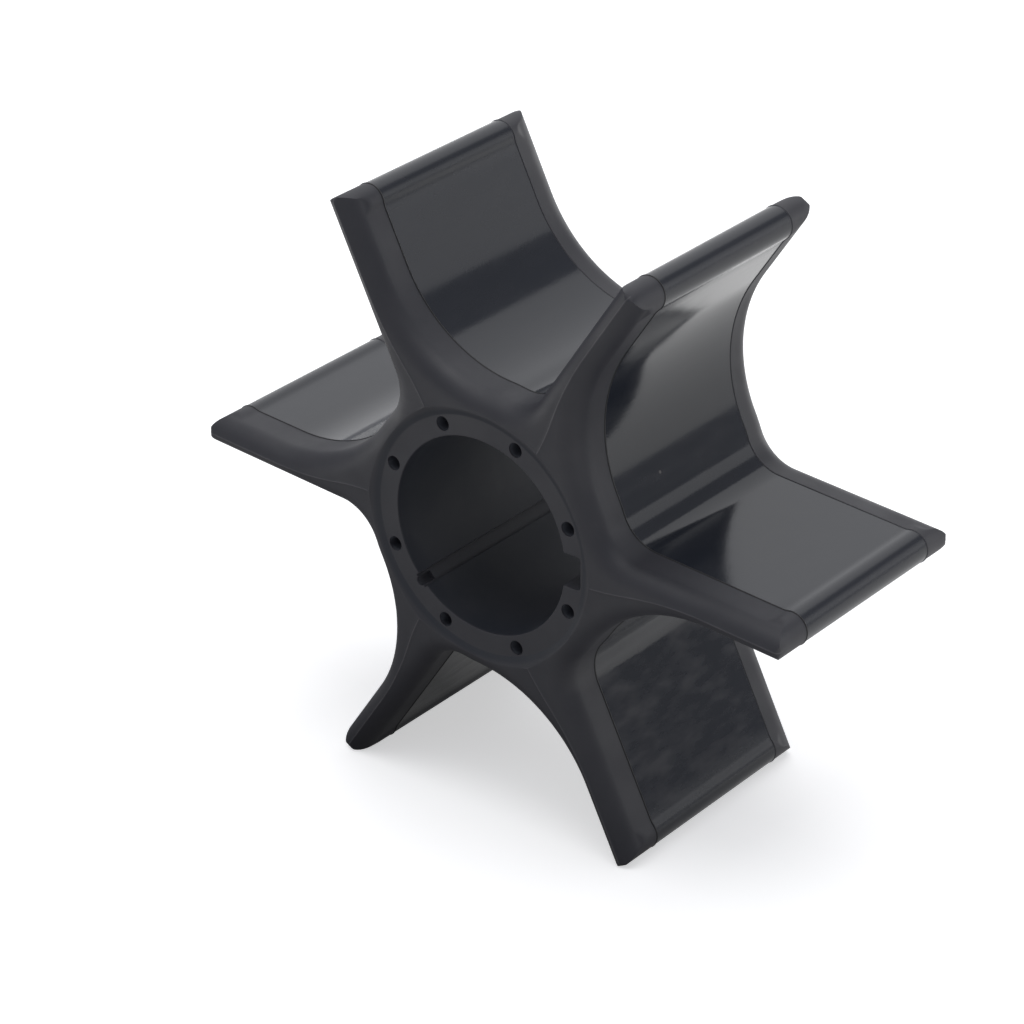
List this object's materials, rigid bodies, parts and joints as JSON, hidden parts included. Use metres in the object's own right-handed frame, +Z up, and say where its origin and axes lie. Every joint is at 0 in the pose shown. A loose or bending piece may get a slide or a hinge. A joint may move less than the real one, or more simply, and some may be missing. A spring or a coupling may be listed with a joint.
{
  "type": "pump impeller",
  "caption": "Flexible rubber pump impeller: slim flexible vanes round a keyed bore, with rounded crested ends and a recessed ring at each end.",
  "frame": {"origin": "middle of the bore on its axis, halfway between the two ends", "axes": "+Y along the bore towards the back end, -Y out of the front end; +X towards the keyway and the vane beside it; +Z up, with the impeller standing on its two lower vanes"},
  "size_m": [0.08, 0.0324, 0.0698],
  "materials": {
    "moulded_rubber": "charcoal black moulded rubber, matt at the ends and glossy on the vanes between the parting lines"
  },
  "bodies": {
    "root": {"impeller": "moulded_rubber"}
  },
  "joints": []
}
